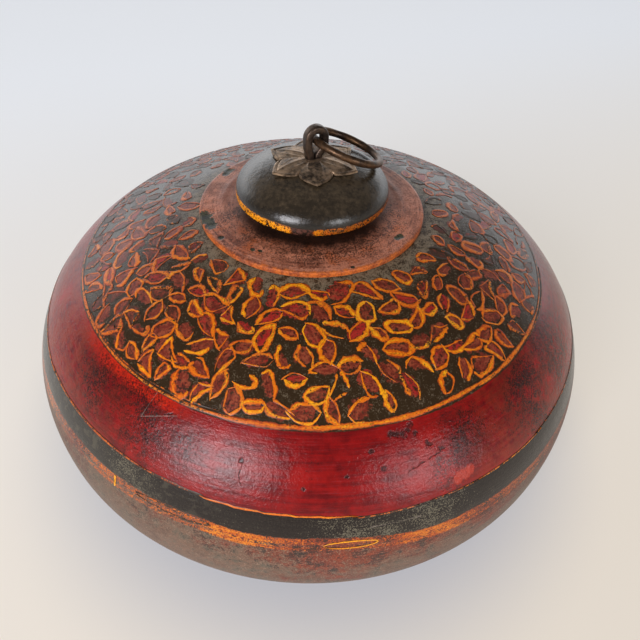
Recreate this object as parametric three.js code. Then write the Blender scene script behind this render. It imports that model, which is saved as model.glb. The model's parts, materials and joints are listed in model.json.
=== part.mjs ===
// Round painted wooden box with a small lifting lid, a domed knob and an iron pull ring.
// Millimetres, +Z up. The origin is the centre of the flat base.
import * as THREE from 'three';

// Pot
const bodyDiameter = 240;
const equatorHeight = 50;
const shoulderRise = 67.9;
const shoulderRoundness = { across: 2.482, up: 2.339 };
const footRadius = 60;
const wall = 10;
const floorThickness = 12;
const mouthRadius = 37;

// Glued rabbet between the two turned halves of the pot
const rabbetHeight = 5;
const rabbetWidth = 4;

// Lid
const lidOffset = { x: -1.2, y: -0.2 };
const flangeRadius = 44.5;
const flangeEdgeThickness = 2.4;
const flangeEdgeRound = 0.5;
const flangeRise = 1.1;
const flangeRidgeRadius = 35.6;
const flangeRidgeHeight = 0.25;
const seatInset = 1;
const spigotRadius = 35.5;
const spigotDepth = 6;
const recessRadius = 29;
const plateThickness = 4.4;

// Knob
const neckRadius = 23;
const neckHeight = 0.9;
const knobRadius = 29.8;
const knobUndercut = 3.1;
const knobRimHeight = 0.7;
const domeRise = 12;
const domeRoundness = { across: 2.1, up: 2.3 };
const tenonRadius = 10;
const tenonDepth = 2.6;

// Iron fittings
const rosetteLobes = 6;
const rosettePhase = -84;
const rosetteTipRadius = 18;
const rosetteValleyRadius = 12;
const rosetteThickness = 1.2;
const rosetteTipLift = 0.9;
const strapThickness = 2.8;
const strapWidth = 3.8;
const strapCorner = 0.9;
const loopRadius = 3.3;
const loopCentreAboveDome = 8.3;
const loopLean = 0.9;
const clinchReach = 10;
const washerRadius = 11;
const washerThickness = 1.2;
const ringRadius = 14;
const ringWire = 3.1;
const ringAzimuth = 27;
const ringTilt = 21.9;
const ringHang = 0.9;

// Clearances
const gap = 0.3;
const boreClearance = 0.4;

// Facets
const potSides = 64;
const lidSides = 56;
const ringSteps = 40;
const ringSides = 10;

const rad = THREE.MathUtils.degToRad;

// Height of a superellipse of the given half axes at radius r.
function superHeight(r, radius, rise, roundness) {
  const cosine = Math.min(1, r / radius) ** (roundness.across / 2);
  return rise * Math.sqrt(1 - cosine * cosine) ** (2 / roundness.up);
}

const shoulderAt = (r) => equatorHeight + superHeight(r, bodyDiameter / 2, shoulderRise, shoulderRoundness);
const shoulderInsideAt = (r) =>
  equatorHeight + superHeight(r, bodyDiameter / 2 - wall, shoulderRise - wall, shoulderRoundness);

// Heights that the pieces share
const seatRadius = flangeRadius - seatInset;
const seatHeight = shoulderAt(seatRadius);
const flangeBottom = seatHeight + gap;
const flangeEdgeTop = flangeBottom + flangeEdgeThickness;
const flangeTop = flangeEdgeTop + flangeRise;
const plateBottom = flangeTop - plateThickness;
const knobBottom = flangeTop + gap;
const knobRim = knobBottom + neckHeight + knobUndercut;
const domeBase = knobRim + knobRimHeight;
const domeTop = domeBase + domeRise;
const domeAt = (r) => domeBase + superHeight(r, knobRadius, domeRise, domeRoundness);

// The eye's two legs stand side by side in one bore.
const legCentre = strapThickness / 2 + gap / 2;
const boreRadius = Math.hypot(legCentre + strapThickness / 2, strapWidth / 2) + boreClearance;

// Directions of the eye's plane, which is also the way in which the ring lies
const ringDirection = new THREE.Vector3(Math.cos(rad(ringAzimuth)), Math.sin(rad(ringAzimuth)), 0);
const ringAcross = new THREE.Vector3(-Math.sin(rad(ringAzimuth)), Math.cos(rad(ringAzimuth)), 0);
const loopCentre = domeTop + loopCentreAboveDome;
const ringPivot = new THREE.Vector3(lidOffset.x, lidOffset.y, loopCentre - ringHang)
  .addScaledVector(ringDirection, loopLean);

function named(name, geometry, colour, roughness, metalness) {
  const material = new THREE.MeshStandardMaterial({ color: colour, roughness, metalness, flatShading: true });
  const mesh = new THREE.Mesh(geometry, material);
  mesh.name = name;
  return mesh;
}

// Turns a closed outline of [radius, height] pairs, listed anticlockwise, about the Z axis.
function turned(outline, sides) {
  const points = outline.map(([r, z]) => new THREE.Vector2(r, z));
  const onAxis = outline[0][0] === 0 && outline[outline.length - 1][0] === 0;
  if (!onAxis) points.push(points[0].clone());
  const geometry = new THREE.LatheGeometry(points, sides);
  return geometry.rotateX(Math.PI / 2);
}

// Points of a curve from one radius to another, at even steps of the angle that draws it.
function arcPoints(radiusStart, radiusEnd, radius, roundness, heightAt, steps) {
  const angleOf = (r) => Math.acos(Math.min(1, r / radius) ** (roundness.across / 2));
  const points = [];
  for (let i = 0; i <= steps; i += 1) {
    const angle = THREE.MathUtils.lerp(angleOf(radiusStart), angleOf(radiusEnd), i / steps);
    const r = radius * Math.cos(angle) ** (2 / roundness.across);
    points.push([r, heightAt(r)]);
  }
  return points;
}

// Quarter ellipse of the lower half, from the foot up to the equator.
function bellyPoints(radius, rise, lowRadius, steps) {
  const points = [];
  const start = Math.acos(lowRadius / radius);
  for (let i = 0; i <= steps; i += 1) {
    const angle = start * (1 - i / steps);
    points.push([radius * Math.cos(angle), equatorHeight - rise * Math.sin(angle)]);
  }
  return points;
}

const bodyRadius = bodyDiameter / 2;
const bellyRise = equatorHeight / Math.sqrt(1 - (footRadius / bodyRadius) ** 2);
const insideRadius = bodyRadius - wall;
const insideRise = bellyRise - wall;
const lipOuter = insideRadius + rabbetWidth;

function lowerBowl() {
  const floorRadius = insideRadius * Math.sqrt(1 - ((equatorHeight - floorThickness) / insideRise) ** 2);
  const outline = [
    [0, 0],
    ...bellyPoints(bodyRadius, bellyRise, footRadius, 9),
    [lipOuter, equatorHeight],
    [lipOuter, equatorHeight + rabbetHeight],
    [shellBore(rabbetHeight), equatorHeight + rabbetHeight],
    ...bellyPoints(insideRadius, insideRise, floorRadius, 7).reverse(),
    [0, floorThickness],
  ];
  return turned(outline, potSides);
}

// Inner radius of the pot at a height above the equator, so that the rabbet's lip lies flush inside.
function shellBore(height) {
  const sine = (height / (shoulderRise - wall)) ** (shoulderRoundness.up / 2);
  return insideRadius * Math.sqrt(1 - sine * sine) ** (2 / shoulderRoundness.across);
}

function upperShell() {
  const lipTop = rabbetHeight + gap;
  const outline = [
    [lipOuter + gap, equatorHeight + gap],
    [bodyRadius, equatorHeight + gap],
    ...arcPoints(bodyRadius, seatRadius, bodyRadius, shoulderRoundness, shoulderAt, 14).slice(1),
    [mouthRadius, seatHeight],
    ...arcPoints(mouthRadius, shellBore(lipTop), insideRadius, shoulderRoundness, shoulderInsideAt, 10),
    [lipOuter + gap, equatorHeight + lipTop],
  ];
  return turned(outline, potSides);
}

function lidFlange() {
  const socketRadius = tenonRadius + gap;
  const socketFloor = flangeTop - tenonDepth - gap;
  const ridge = THREE.MathUtils.lerp(flangeEdgeTop, flangeTop, 0.35);
  const outline = [
    [boreRadius, plateBottom],
    [recessRadius, plateBottom],
    [recessRadius, flangeBottom - spigotDepth],
    [spigotRadius, flangeBottom - spigotDepth],
    [spigotRadius, flangeBottom],
    [flangeRadius, flangeBottom],
    [flangeRadius, flangeEdgeTop - flangeEdgeRound],
    [flangeRadius - flangeEdgeRound, flangeEdgeTop],
    [flangeRidgeRadius + 2, ridge],
    [flangeRidgeRadius, ridge + flangeRidgeHeight],
    [flangeRidgeRadius - 2, ridge],
    [neckRadius + 1, flangeTop],
    [socketRadius, flangeTop],
    [socketRadius, socketFloor],
    [boreRadius, socketFloor],
  ];
  return turned(outline, potSides);
}

function lidKnob() {
  const outline = [
    [boreRadius, flangeTop - tenonDepth],
    [tenonRadius, flangeTop - tenonDepth],
    [tenonRadius, knobBottom],
    [neckRadius, knobBottom],
    [neckRadius, knobBottom + neckHeight],
  ];
  const flareSteps = 4;
  for (let i = 1; i <= flareSteps; i += 1) {
    const angle = (Math.PI / 2) * (i / flareSteps);
    outline.push([
      neckRadius + (knobRadius - neckRadius) * Math.sin(angle),
      knobRim - knobUndercut * Math.cos(angle),
    ]);
  }
  outline.push(...arcPoints(knobRadius, boreRadius, knobRadius, domeRoundness, domeAt, 9));
  return turned(outline, lidSides);
}

// Closed skin over a grid of points: rows run outward on top and back underneath, round the axis.
function skinOfGrid(grid) {
  const rows = grid.length;
  const columns = grid[0].length;
  const positions = grid.flat().flatMap((point) => [point.x, point.y, point.z]);
  const indices = [];
  for (let i = 0; i < rows; i += 1) {
    for (let j = 0; j < columns; j += 1) {
      const a = i * columns + j;
      const b = i * columns + ((j + 1) % columns);
      const c = ((i + 1) % rows) * columns + j;
      const d = ((i + 1) % rows) * columns + ((j + 1) % columns);
      indices.push(a, c, b, b, c, d);
    }
  }
  const geometry = new THREE.BufferGeometry();
  geometry.setAttribute('position', new THREE.Float32BufferAttribute(positions, 3));
  geometry.setIndex(indices);
  geometry.computeVertexNormals();
  return geometry;
}

// Outline of the leaf star: rounded valleys, shoulders that swell and a drawn-out point.
function rosetteRadius(angle) {
  const lobeStep = (2 * Math.PI) / rosetteLobes;
  const phase = (angle - rad(rosettePhase)) / lobeStep;
  const away = Math.abs(phase - Math.round(phase)) * 2;
  const swell = (1 - away) ** 0.85;
  return THREE.MathUtils.lerp(rosetteValleyRadius, rosetteTipRadius, swell);
}

function rosette() {
  const columns = rosetteLobes * 10;
  const shares = [0, 0.35, 0.7, 1];
  const top = [];
  const underside = [];
  for (const share of shares) {
    const topRow = [];
    const undersideRow = [];
    for (let j = 0; j < columns; j += 1) {
      const angle = rad(rosettePhase) + (j / columns) * 2 * Math.PI;
      const r = THREE.MathUtils.lerp(boreRadius, rosetteRadius(angle), share);
      const tip = Math.max(0, (r - rosetteValleyRadius) / (rosetteTipRadius - rosetteValleyRadius));
      const seat = domeAt(r) + gap + rosetteTipLift * tip * tip;
      const x = r * Math.cos(angle);
      const y = r * Math.sin(angle);
      undersideRow.push(new THREE.Vector3(x, y, seat));
      topRow.push(new THREE.Vector3(x, y, seat + rosetteThickness));
    }
    top.push(topRow);
    underside.unshift(undersideRow);
  }
  return skinOfGrid([...top, ...underside]);
}

// Centre line of one strap: clinched end, leg, loop over the top, second leg and clinched end.
// Each point holds the distance along the eye's plane and the height.
function strapLine() {
  const clinchHeight = plateBottom - gap - washerThickness - gap - strapThickness / 2;
  const bend = strapThickness * 0.8;
  const leg = [[-clinchReach, clinchHeight], [-legCentre - bend * 2, clinchHeight]];
  for (let i = 1; i <= 4; i += 1) {
    const angle = (Math.PI / 2) * (i / 4);
    leg.push([
      -legCentre - bend * (1 - Math.sin(angle)),
      clinchHeight + bend * (1 - Math.cos(angle)),
    ]);
  }
  const shoulderStart = domeTop + rosetteThickness;
  const loopFoot = loopCentre - ringHang - ringWire / 2 - gap;
  leg.push([-legCentre, shoulderStart]);
  const halfLoop = [];
  for (let i = 0; i <= 5; i += 1) {
    const angle = (Math.PI / 2) * (i / 5);
    halfLoop.push([-loopRadius * Math.cos(angle), loopCentre + loopRadius * Math.sin(angle)]);
  }
  const left = [...leg, [-loopRadius, loopFoot], ...halfLoop];
  const right = left.slice(0, -1).reverse().map(([s, z]) => [-s, z]);
  const leanAt = (z) => loopLean * THREE.MathUtils.smoothstep(z, shoulderStart, loopFoot);
  return [...left, ...right].map(([s, z]) => [s + leanAt(z), z]);
}

// Sweeps a cut-cornered strap section along a line that stays in one upright plane.
function sweptStrap(line) {
  const halfT = strapThickness / 2;
  const halfW = strapWidth / 2;
  const section = [
    [halfT, halfW - strapCorner], [halfT - strapCorner, halfW],
    [strapCorner - halfT, halfW], [-halfT, halfW - strapCorner],
    [-halfT, strapCorner - halfW], [strapCorner - halfT, -halfW],
    [halfT - strapCorner, -halfW], [halfT, strapCorner - halfW],
  ];
  const positions = [];
  const unit = (from, to) => new THREE.Vector2(to[0] - from[0], to[1] - from[1]).normalize();
  line.forEach((point, i) => {
    const before = unit(line[Math.max(0, i - 1)], line[Math.max(1, i)]);
    const after = unit(line[Math.min(i, line.length - 2)], line[Math.min(i + 1, line.length - 1)]);
    const tangent = before.clone().add(after).normalize();
    const mitre = 1 / Math.max(0.5, tangent.dot(before));
    const normal = new THREE.Vector2(-tangent.y, tangent.x).multiplyScalar(mitre);
    for (const [across, wide] of section) {
      const place = new THREE.Vector3(0, 0, point[1] + normal.y * across)
        .addScaledVector(ringDirection, point[0] + normal.x * across)
        .addScaledVector(ringAcross, wide);
      positions.push(place.x, place.y, place.z);
    }
  });
  const indices = [];
  const count = section.length;
  for (let i = 0; i < line.length - 1; i += 1) {
    for (let k = 0; k < count; k += 1) {
      const a = i * count + k;
      const b = i * count + ((k + 1) % count);
      indices.push(a, a + count, b, b, a + count, b + count);
    }
  }
  const last = (line.length - 1) * count;
  for (let k = 1; k < count - 1; k += 1) {
    indices.push(0, k, k + 1, last, last + k + 1, last + k);
  }
  const geometry = new THREE.BufferGeometry();
  geometry.setAttribute('position', new THREE.Float32BufferAttribute(positions, 3));
  geometry.setIndex(indices);
  geometry.computeVertexNormals();
  return geometry;
}

function clinchWasher() {
  const top = plateBottom - gap;
  const bottom = top - washerThickness;
  return turned([[boreRadius, bottom], [washerRadius, bottom], [washerRadius, top], [boreRadius, top]], 32);
}

// The ring hangs in the eye and lies down the dome: its plane dips by ringTilt from the pivot.
function pullRing() {
  const down = ringDirection.clone().multiplyScalar(Math.cos(rad(ringTilt)));
  down.z = -Math.sin(rad(ringTilt));
  const square = new THREE.Vector3().crossVectors(down, ringAcross);
  const centre = ringPivot.clone().addScaledVector(down, ringRadius);
  const place = new THREE.Matrix4().makeBasis(down, ringAcross, square).setPosition(centre);
  const geometry = new THREE.TorusGeometry(ringRadius, ringWire / 2, ringSides, ringSteps);
  return geometry.applyMatrix4(place);
}

const pot = new THREE.Group();
pot.add(
  named('lower_bowl', lowerBowl(), 0x6b4a38, 0.6, 0),
  named('upper_shell', upperShell(), 0x8a1e20, 0.5, 0),
);

const lidOnAxis = new THREE.Group();
lidOnAxis.position.set(lidOffset.x, lidOffset.y, 0);
lidOnAxis.add(
  named('lid_flange', lidFlange(), 0x9a5a4c, 0.55, 0),
  named('lid_knob', lidKnob(), 0x1c1a18, 0.4, 0),
  named('rosette', rosette(), 0x4a4038, 0.5, 0.8),
  named('eye_pin', sweptStrap(strapLine()), 0x4a4038, 0.5, 0.8),
  named('clinch_washer', clinchWasher(), 0x4a4038, 0.6, 0.8),
);

const box = new THREE.Group();
box.add(pot, lidOnAxis, named('pull_ring', pullRing(), 0x5a4c40, 0.45, 0.8));

export default box;
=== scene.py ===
import json
import math
import random

import bpy
from mathutils import Matrix, Vector


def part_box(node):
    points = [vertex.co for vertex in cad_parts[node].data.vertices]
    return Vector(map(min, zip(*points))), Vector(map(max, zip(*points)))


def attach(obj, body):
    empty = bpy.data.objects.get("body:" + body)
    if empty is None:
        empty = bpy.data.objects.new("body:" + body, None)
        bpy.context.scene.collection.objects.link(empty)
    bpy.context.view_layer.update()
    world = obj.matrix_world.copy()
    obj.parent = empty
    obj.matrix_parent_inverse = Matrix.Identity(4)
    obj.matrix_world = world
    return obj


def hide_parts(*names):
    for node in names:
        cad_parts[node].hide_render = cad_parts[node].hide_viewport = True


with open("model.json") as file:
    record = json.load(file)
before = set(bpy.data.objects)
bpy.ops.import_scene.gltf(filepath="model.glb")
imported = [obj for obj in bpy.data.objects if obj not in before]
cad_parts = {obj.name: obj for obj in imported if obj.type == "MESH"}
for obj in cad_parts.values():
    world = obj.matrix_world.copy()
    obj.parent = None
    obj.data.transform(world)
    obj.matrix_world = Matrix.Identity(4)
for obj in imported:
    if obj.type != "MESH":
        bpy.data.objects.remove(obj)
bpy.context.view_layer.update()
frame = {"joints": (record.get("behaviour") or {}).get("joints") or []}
mm = 0.001

# Outside sizes come from the frame, the rest repeats the turned outlines
flangeLow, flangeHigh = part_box("lid_flange")
knobLow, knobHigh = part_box("lid_knob")
swing = next(joint for joint in frame["joints"] if joint["name"] == "ring_swing")
pot = dict(
    radius=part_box("upper_shell")[1].x, equator=50 * mm, rise=67.9 * mm, across=2.482, up=2.339,
    foot=60 * mm, wall=10 * mm, floor=12 * mm, mouth=37 * mm, seat=43.5 * mm,
    lipHeight=5 * mm, lipWidth=4 * mm, steps=240,
)
lidX = (flangeLow.x + flangeHigh.x) / 2
lidY = (flangeLow.y + flangeHigh.y) / 2
gap = 0.3 * mm
boreRadius = 3.9 * mm
weldReach = 0.002 * mm


def superHeight(r, radius, rise, across, up):
    cosine = min(1, r / radius) ** (across / 2)
    return rise * math.sqrt(max(0, 1 - cosine * cosine)) ** (2 / up)


def shoulderHeight(r):
    return pot["equator"] + superHeight(r, pot["radius"], pot["rise"], pot["across"], pot["up"])


def superCurve(radiusStart, radiusEnd, radius, across, heightAt, steps):
    first = math.acos(min(1, radiusStart / radius) ** (across / 2))
    last = math.acos(min(1, radiusEnd / radius) ** (across / 2))
    points = []
    for i in range(steps + 1):
        r = radius * math.cos(first + (last - first) * i / steps) ** (2 / across)
        points.append((r, heightAt(r)))
    return points


def deselectAll():
    if bpy.context.object and bpy.context.object.mode != "OBJECT":
        bpy.ops.object.mode_set(mode="OBJECT")
    bpy.ops.object.select_all(action="DESELECT")


def pickOnly(*pieces):
    deselectAll()
    for piece in pieces:
        piece.select_set(True)
    bpy.context.view_layer.objects.active = pieces[0]


def editAll():
    bpy.ops.object.mode_set(mode="EDIT")
    bpy.ops.mesh.select_all(action="SELECT")


def weldAll():
    bpy.ops.mesh.select_all(action="SELECT")
    bpy.ops.mesh.remove_doubles(threshold=weldReach)


def smooth(degrees):
    if bpy.context.object.mode != "OBJECT":
        bpy.ops.object.mode_set(mode="OBJECT")
    bpy.ops.object.shade_smooth_by_angle(angle=math.radians(degrees))


def spinOutline(name, outline, steps, x=0, y=0):
    # one vertex is drawn out along the outline, then turned as on the lathe
    closing = outline[:1] if outline[0][0] > 0 else []
    deselectAll()
    bpy.ops.mesh.primitive_plane_add(size=10 * mm)
    piece = bpy.context.object
    piece.name = name
    editAll()
    bpy.ops.mesh.merge(type="CENTER")
    last = outline[0]
    bpy.ops.transform.translate(value=(last[0], 0, last[1]))
    for r, z in outline[1:] + closing:
        bpy.ops.mesh.extrude_region_move(TRANSFORM_OT_translate={"value": (r - last[0], 0, z - last[1])})
        last = (r, z)
    weldAll()
    bpy.ops.mesh.spin(steps=steps, angle=2 * math.pi, center=(0, 0, 0), axis=(0, 0, 1))
    weldAll()
    bpy.ops.mesh.normals_make_consistent(inside=False)
    bpy.ops.transform.translate(value=(x, y, 0))
    smooth(35)
    return piece


def finishPiece(piece, body, slot, *replaced):
    if replaced:
        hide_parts(*replaced)
    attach(piece, body)


# Material helpers
def paint(hexColour):
    values = [int(hexColour[i : i + 2], 16) / 255 for i in (1, 3, 5)]
    return tuple(v / 12.92 if v <= 0.04045 else ((v + 0.055) / 1.055) ** 2.4 for v in values) + (1.0,)


class Reading:
    # what a socket gives; a sum written with it adds the nodes that work it out
    def __init__(self, w, socket):
        self.w, self.socket = w, socket

    def __add__(self, other):
        return self.w.math("ADD", self, other)

    def __sub__(self, other):
        return self.w.math("SUBTRACT", self, other)

    def __rsub__(self, other):
        return self.w.math("SUBTRACT", other, self)

    def __mul__(self, other):
        return self.w.math("MULTIPLY", self, other)

    __radd__ = __add__
    __rmul__ = __mul__

    def most(self, other):
        return self.w.math("MAXIMUM", self, other)

    def blend(self, share, other):
        return self * (1 - share) + other * share

    def sway(self, reach):
        # noise between 0 and 1 becomes a swing to both sides
        return (self - 0.5) * reach

    def step(self, low, high):
        ends = {"Value": self, "From Min": low, "From Max": high}
        return self.w.read("ShaderNodeMapRange", "Result", ends, interpolation_type="SMOOTHSTEP")

    def band(self, low, high, soft):
        return self.step(low - soft, low + soft) * self.step(high + soft, high - soft)


class Wiring:
    def __init__(self, tree, palette):
        self.tree, self.palette = tree, palette

    def node(self, kind, **settings):
        made = self.tree.nodes.new(kind)
        for key, value in settings.items():
            setattr(made, key, value)
        return made

    def plug(self, source, socket):
        # a colour is given by its name in the palette or by its hex code
        if isinstance(source, str):
            source = paint(self.palette.get(source, source))
        if isinstance(source, (int, float, tuple)):
            socket.default_value = source
        else:
            self.tree.links.new(getattr(source, "socket", source), socket)

    def read(self, kind, output, inputs, **settings):
        made = self.node(kind, **settings)
        for key, value in inputs.items():
            self.plug(value, made.inputs[key])
        return Reading(self, made.outputs[output])

    def math(self, operation, a, b=0.0, clamp=False):
        return self.read("ShaderNodeMath", 0, {0: a, 1: b}, operation=operation, use_clamp=clamp)

    def mix(self, amount, a, b):
        return self.read("ShaderNodeMix", 2, {"Factor": amount, 6: a, 7: b}, data_type="RGBA")

    def coats(self, colour, *layers):
        # each mask lets its own colour over what is there
        for mask, tone in layers:
            colour = self.mix(mask, colour, tone)
        return colour

    def noise(self, vector, scale, detail=4.0, rough=0.55, seed=0.0):
        values = {"Vector": vector, "Scale": scale, "W": seed, "Detail": detail, "Roughness": rough}
        return self.read("ShaderNodeTexNoise", "Fac", values, noise_dimensions="4D")

    def split(self, vector, kind="ShaderNodeSeparateXYZ"):
        made = self.node(kind)
        self.plug(vector, made.inputs[0])
        return [Reading(self, socket) for socket in made.outputs]

    def join(self, x, y, z):
        return self.read("ShaderNodeCombineXYZ", 0, {"X": x, "Y": y, "Z": z})

    def vector(self, operation, a, b):
        output = "Value" if operation in ("DISTANCE", "DOT_PRODUCT") else "Vector"
        return self.read("ShaderNodeVectorMath", output, {0: a, 1: b}, operation=operation)

    def group(self, tree, **values):
        made = self.node("ShaderNodeGroup", node_tree=tree)
        for key, value in values.items():
            self.plug(value, made.inputs[key])
        found = [Reading(self, socket) for socket in made.outputs]
        return found if len(found) > 1 else found[0]


def newMaterial(name, palette):
    material = bpy.data.materials.new(name)
    material.use_nodes = True
    w = Wiring(material.node_tree, palette)
    return material, w, w.read("ShaderNodeTexCoord", "Object", {})


def finishMaterial(material, w, colour, rough, relief, strength, depth, ior=1.5, metallic=0.0):
    shader = material.node_tree.nodes["Principled BSDF"]
    shape = {"Strength": strength, "Distance": depth, "Height": relief}
    normal = w.read("ShaderNodeBump", "Normal", shape)
    feeds = {"Base Color": colour, "Roughness": rough, "IOR": ior, "Metallic": metallic, "Normal": normal}
    for key, value in feeds.items():
        w.plug(value, shader.inputs[key])
    return material


def newEffect(build, outputs, **inputs):
    # a shader node group, built once by a function of its inputs
    tree = bpy.data.node_groups.new(build.__name__, "ShaderNodeTree")
    for name, value in inputs.items():
        kind = "NodeSocketVector" if isinstance(value, tuple) else "NodeSocketFloat"
        tree.interface.new_socket(name=name, in_out="INPUT", socket_type=kind).default_value = value
    for name in outputs:
        tree.interface.new_socket(name=name, in_out="OUTPUT", socket_type="NodeSocketFloat")
    w = Wiring(tree, {})
    given, out = w.node("NodeGroupInput").outputs, w.node("NodeGroupOutput").inputs
    for name, result in zip(outputs, build(w, *[Reading(w, given[name]) for name in inputs])):
        w.plug(result, out[name])
    return tree


def turningStreaks(w, where, axisX, axisY, across, around):
    # streaks that run round the axis, as a brush or a rag leaves them on the lathe
    x, y, z = w.split(where)
    x, y = x - axisX, y - axisY
    radius = w.math("SQRT", x * x + y * y)
    streaks = w.noise(w.join((radius - z) * across, x * around, y * around), 1.0, 5.0, 0.6)
    return streaks, radius * 1000.0, z * 1000.0, x * 1000.0, y * 1000.0


def clusteredSpecks(w, where, size, patch, amount):
    # small specks that gather in patches
    fine = w.noise(where, size, 3.0)
    wide = w.noise(where, patch, 3.0, 0.55, 4.0)
    return [(fine + (wide * 0.9 + amount) * 0.5).step(0.98, 1.08)]


def handGrain(w, where, ridges, grit, lumps, leather):
    # relief of hand-laid paint: brush ridges, fine grit, soft lumps and creases
    total = ridges * 0.3 + w.noise(where, grit, 3.0) * 0.3
    total = total + w.noise(where, lumps, 2.0, 0.5, 2.0) * 0.6
    return [total + w.noise(where, 620.0, 5.0, 0.65, 7.0) * leather]


def raggedBlob(w, where, centre, reach, ragged, fine, soft):
    # one worn or painted patch with an uneven edge
    away = w.math("DIVIDE", w.vector("DISTANCE", where, centre), reach)
    uneven = w.noise(where, fine, 4.0, 0.65).sway(2.0) * ragged
    return [(away + uneven).step(1.0 + soft, 1.0 - soft)]


def scratchLine(w, where, start, end, width):
    # a straight scratch between two points
    along, across = w.vector("SUBTRACT", end, start), w.vector("SUBTRACT", where, start)
    full = w.vector("DOT_PRODUCT", along, along)
    share = w.math("DIVIDE", w.vector("DOT_PRODUCT", across, along), full, True)
    nearest = w.read("ShaderNodeVectorMath", "Vector", {0: along, "Scale": share}, operation="SCALE")
    return [w.vector("DISTANCE", across, nearest).step(width, width * 0.3)]


origin = (0.0, 0.0, 0.0)
streakGroup = newEffect(
    turningStreaks, ["Streaks", "Radius", "Height", "Side", "Depth"],
    Where=origin, AxisX=0.0, AxisY=0.0, Across=600.0, Around=30.0,
)
speckGroup = newEffect(clusteredSpecks, ["Specks"], Where=origin, Size=400.0, Patch=30.0, Amount=0.5)
grainGroup = newEffect(
    handGrain, ["Height"], Where=origin, Ridges=0.5, Grit=1500.0, Lumps=160.0, Leather=0.0
)
blobGroup = newEffect(
    raggedBlob, ["Mask"], Where=origin, Centre=origin, Reach=0.01, Ragged=0.6, Fine=300.0, Soft=0.15
)
scratchGroup = newEffect(
    scratchLine, ["Mask"], Where=origin, Start=origin, End=(0.01, 0.0, 0.0), Width=0.0005
)

potColours = dict(
    ground="#332413", groundDust="#80705a",
    redDeep="#5f0a0c", red="#8b0e0d", redBright="#a2150f", redStrip="#d42a10", redDust="#93464c",
    redEarth="#86301a", speck="#1c1310", dirt="#31100c", patch="#aa3220", scratch="#a8988a",
    black="#1f1713", blackLeftSheen="#302c26", blackDust="#776f5b", orange="#b44e12", yellow="#d47e1e",
    worn="#78301e", wornOrange="#944122", wornPale="#967c66", wornGrey="#625646", wornDark="#2f241e",
)
# heights of the painted bands in mm
potBands = dict(
    line=98.3, thread=80.5, threadTilt=0.034, tiltFrom=-45.0, tiltTo=20.0,
    blackLow=74.8, stripeLow=70.1, frontDrop=1.3, rightDrop=3.2,
)
# places as radius, height and azimuth; a patch then has its reach, a scratch its end and its width
potMarks = dict(
    dirt=[
        (98, 95.7, -124.6, 17), (101, 93.2, -133.6, 14), (106, 88, -121, 13), (103.5, 91, -112, 7),
        (102.9, 91.6, -43.9, 14), (113.2, 78.8, -42.7, 9), (102.3, 92.1, -62.4, 9), (108.2, 86, -65.9, 7),
        (101.3, 93, -30, 15),
    ],
    pits=[
        (96.2, 96.9, -75.2, 0.9), (96.6, 96.6, -74.1, 1.2), (97.0, 96.3, -72.9, 1.3),
        (96.5, 96.7, -71.8, 0.8), (97.6, 95.9, -70.6, 0.7), (95.2, 97.7, -71.2, 0.9),
        (103.9, 90.6, -77.4, 0.8), (99.8, 94.3, -79, 0.7), (102.5, 91.9, -101, 0.8),
        (104.6, 90, -83.5, 0.55), (107, 87.5, -90.5, 0.6), (100.8, 93.4, -68.7, 1.0),
        (102.9, 91.6, -66.6, 0.9),
    ],
    patch=[(110.6, 83.0, -64.6, 1.9), (110.3, 83.4, -63.4, 2.1), (109.9, 83.9, -62.2, 1.7)],
    scratches=[
        (101.6, 92.9, -121.5, 97.2, 96.4, -114.5, 0.26),
        (94.4, 98.2, -120.5, 101.3, 93.0, -121.3, 0.22),
        (114.6, 76.1, -80.0, 114.6, 76.0, -72.0, 0.45),
    ],
    cracks=[
        (101.2, 92.6, -121.0, 97.0, 96.2, -115.5, 0.35),
        (102.9, 91.5, -100.9, 105.6, 88.9, -101.0, 0.24),
        (105.6, 88.9, -101.0, 108.4, 85.8, -100.2, 0.18),
        (105.7, 88.8, -73.3, 103.7, 90.8, -66.9, 0.3),
        (103.7, 90.8, -66.9, 101.9, 92.6, -63.0, 0.22),
    ],
)
lacquerIOR = 1.38


def onPot(radius, height, azimuth):
    angle = math.radians(azimuth)
    return (radius * mm * math.cos(angle), radius * mm * math.sin(angle), height * mm)


def tallest(masks):
    total = masks[0]
    for mask in masks[1:]:
        total = total.most(mask)
    return total


def blobs(w, where, spots, **shape):
    return tallest([
        w.group(blobGroup, Where=where, Centre=spot, Reach=reach, **shape) for spot, reach in spots
    ])


def potBlobs(w, where, kind, **shape):
    return blobs(w, where, [(onPot(*place), reach * mm) for *place, reach in potMarks[kind]], **shape)


def potLines(w, where, kind):
    return tallest([
        w.group(scratchGroup, Where=where, Start=onPot(*row[:3]), End=onPot(*row[3:6]), Width=row[6] * mm)
        for row in potMarks[kind]
    ])


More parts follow.
